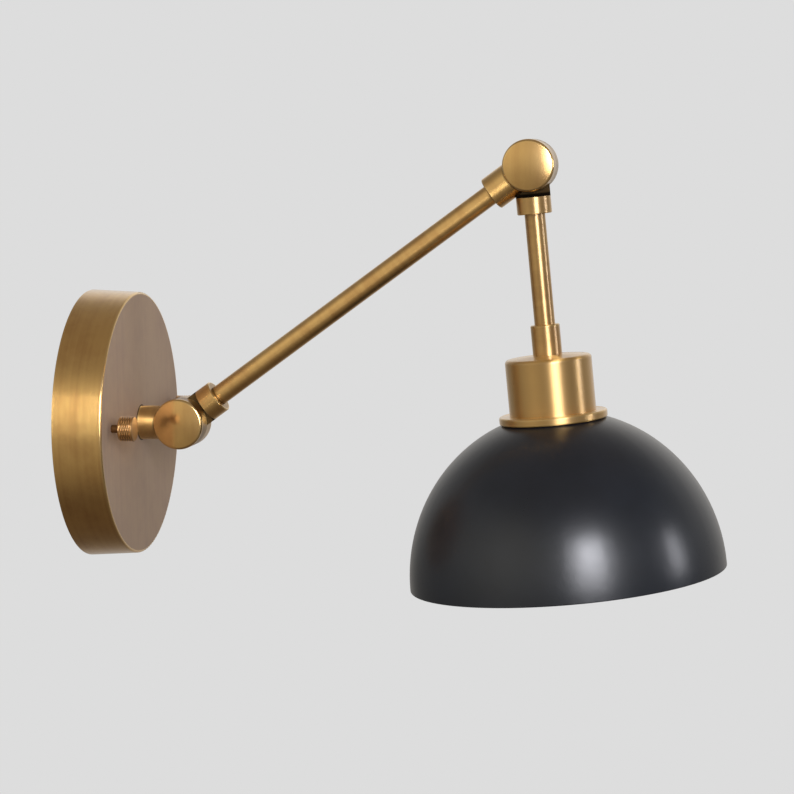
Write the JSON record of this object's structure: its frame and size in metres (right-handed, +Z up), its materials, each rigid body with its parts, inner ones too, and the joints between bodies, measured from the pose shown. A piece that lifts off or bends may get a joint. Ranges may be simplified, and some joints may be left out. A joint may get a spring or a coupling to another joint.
{
  "type": "adjustable wall lamp",
  "caption": "Wall lamp with a round brass backplate, a swinging tube arm and a tilting head that carries a screw lampholder under a black domed metal shade.",
  "frame": {"origin": "centre of the backplate in the plane of the wall, midway between the strap's slots", "axes": "+X out of the wall, +Z up, +Y to the right for someone who faces the wall; the arm and head swing in the XZ plane about pivots along Y"},
  "size_m": [0.3001, 0.1468, 0.2082],
  "materials": {
    "antique_brass": "brushed antique brass under satin lacquer",
    "black_paint": "satin black powder coat, white inside",
    "zinc_steel": "zinc plated",
    "porcelain": "white glaze",
    "green_screw": "green dyed plating",
    "live_sleeve": "black insulation",
    "neutral_sleeve": "white insulation",
    "fibre": "red vulcanised fibre"
  },
  "bodies": {
    "base": {"backplate": "antique_brass", "mounting_strap": "zinc_steel", "strap_studs": "zinc_steel", "stud_lock_nuts": "zinc_steel", "earth_screw": "green_screw", "base_knuckle": "antique_brass", "base_knuckle_cap": "antique_brass", "neck_washer": "zinc_steel", "neck_nut": "zinc_steel", "lower_friction_washer": "fibre", "lower_spring_washer": "zinc_steel", "lower_pivot_nut": "zinc_steel", "base_live_wire": "live_sleeve", "base_neutral_wire": "neutral_sleeve"},
    "arm": {"arm_lower_knuckle": "antique_brass", "arm_lower_cap": "antique_brass", "arm_tube": "antique_brass", "arm_upper_knuckle": "antique_brass", "arm_upper_cap": "antique_brass", "upper_friction_washer": "fibre", "upper_spring_washer": "zinc_steel", "upper_pivot_nut": "zinc_steel", "arm_live_wire": "live_sleeve", "arm_neutral_wire": "neutral_sleeve"},
    "head": {"head_knuckle": "antique_brass", "head_knuckle_cap": "antique_brass", "head_tube": "antique_brass", "holder_collar": "antique_brass", "holder_nipple": "zinc_steel", "holder_nut": "zinc_steel", "socket_cup": "antique_brass", "insulator": "porcelain", "holder_skirt": "antique_brass", "screw_shell": "antique_brass", "centre_contact": "antique_brass", "terminal_plates": "antique_brass", "terminal_screws": "antique_brass", "shade_ring": "antique_brass", "shade": "black_paint", "retaining_ring": "antique_brass", "head_live_wire": "live_sleeve", "head_neutral_wire": "neutral_sleeve"},
    "front_nut": {"thumb_nut_front": "antique_brass"},
    "rear_nut": {"thumb_nut_rear": "antique_brass"}
  },
  "joints": [
    {"name": "arm_hinge", "type": "hinge", "parent": "base", "child": "arm", "pos_m": [0.04329, 0, 0], "axis": [0, -1, 0], "range_deg": [-70, 40]},
    {"name": "head_hinge", "type": "hinge", "parent": "arm", "child": "head", "pos_m": [0.21129, 0, 0.11939], "axis": [0, -1, 0], "range_deg": [0, 135]},
    {"name": "front_nut_turn", "type": "hinge", "parent": "base", "child": "front_nut", "pos_m": [0.0272, -0.046, 0.0023], "axis": [1, 0, 0], "continuous": true},
    {"name": "rear_nut_turn", "type": "hinge", "parent": "base", "child": "rear_nut", "pos_m": [0.0272, 0.046, 0.0023], "axis": [1, 0, 0], "continuous": true}
  ]
}
